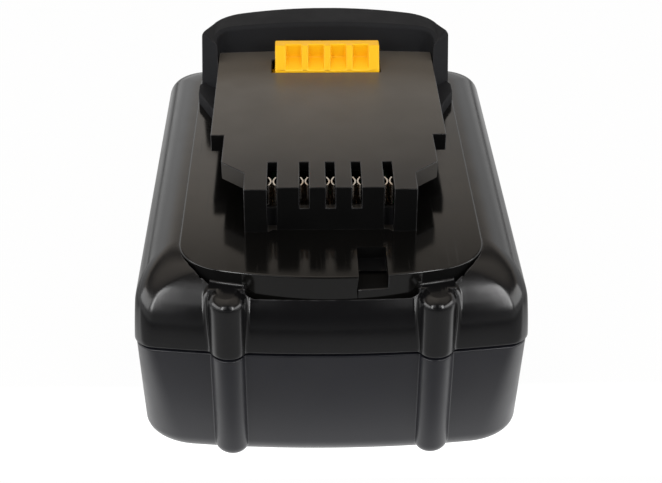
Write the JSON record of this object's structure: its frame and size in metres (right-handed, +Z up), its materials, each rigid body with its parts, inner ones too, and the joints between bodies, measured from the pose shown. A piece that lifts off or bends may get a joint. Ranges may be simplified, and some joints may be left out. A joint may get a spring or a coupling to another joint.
{
  "type": "power tool battery pack",
  "caption": "Slide-on battery pack for a cordless tool: two-part black case, rail plate with terminal slots, sprung orange latch, and cells, bus bars and board inside.",
  "frame": {"origin": "middle of the bounding box on the plane that the lower housing stands on", "axes": "+Z up, +Y from the terminal end towards the latch end, +X to the right when the terminal end faces the viewer"},
  "size_m": [0.076, 0.1106, 0.0584],
  "materials": {
    "upper_case": "black moulded plastic: polished deck and rail plate, satin shoulders and hood",
    "lower_case": "dark grey-black moulded plastic with a fine satin texture",
    "latch_plastic": "orange-yellow moulded plastic, satin",
    "inner_plastic": "dark moulded plastic",
    "spring_steel": "drawn spring wire",
    "screw_steel": "zinc-plated steel",
    "board": "green solder mask over glass-fibre board",
    "contact_metal": "spring copper alloy, tin-flashed",
    "chip": "black moulded component body",
    "shunt_metal": "bare resistance alloy",
    "ceramic": "tan ceramic",
    "thermistor_coat": "dip-coated bead",
    "cell_wrap": "plain shrink wrap",
    "bar_metal": "nickel strip",
    "insulator_sheet": "insulating paper"
  },
  "bodies": {
    "pack": {"upper_housing": "upper_case", "lower_housing": "lower_case", "latch_spring_left": "spring_steel", "latch_spring_right": "spring_steel", "latch_base": "inner_plastic", "latch_base_screws": "screw_steel", "circuit_board": "board", "contact_carrier": "inner_plastic", "contact_positive": "contact_metal", "contact_negative": "contact_metal", "contact_signal_1": "contact_metal", "contact_signal_2": "contact_metal", "contact_signal_3": "contact_metal", "controller_chip": "chip", "power_transistors": "chip", "shunt_resistor": "shunt_metal", "capacitors": "ceramic", "thermistor": "thermistor_coat", "board_screws": "screw_steel", "cell_01": "cell_wrap", "cell_02": "cell_wrap", "cell_03": "cell_wrap", "cell_04": "cell_wrap", "cell_05": "cell_wrap", "cell_06": "cell_wrap", "cell_07": "cell_wrap", "cell_08": "cell_wrap", "cell_09": "cell_wrap", "cell_10": "cell_wrap", "cell_rings": "insulator_sheet", "cell_holder_left": "inner_plastic", "cell_holder_right": "inner_plastic", "bus_bar_left_near": "bar_metal", "bus_bar_left_middle": "bar_metal", "bus_bar_left_far": "bar_metal", "bus_bar_right_near": "bar_metal", "bus_bar_right_middle": "bar_metal", "bus_bar_right_far": "bar_metal", "positive_strap": "bar_metal", "insulator_left": "insulator_sheet", "insulator_right": "insulator_sheet", "housing_screws": "screw_steel"},
    "latch": {"latch": "latch_plastic"}
  },
  "joints": [
    {"name": "latch_slide", "type": "slide", "parent": "pack", "child": "latch", "axis": [0, 0, -1], "range_m": [0, 0.0052], "stiffness_N_per_m": 1200, "springref_m": -0.004, "deforming": ["latch_spring_left", "latch_spring_right"]}
  ]
}
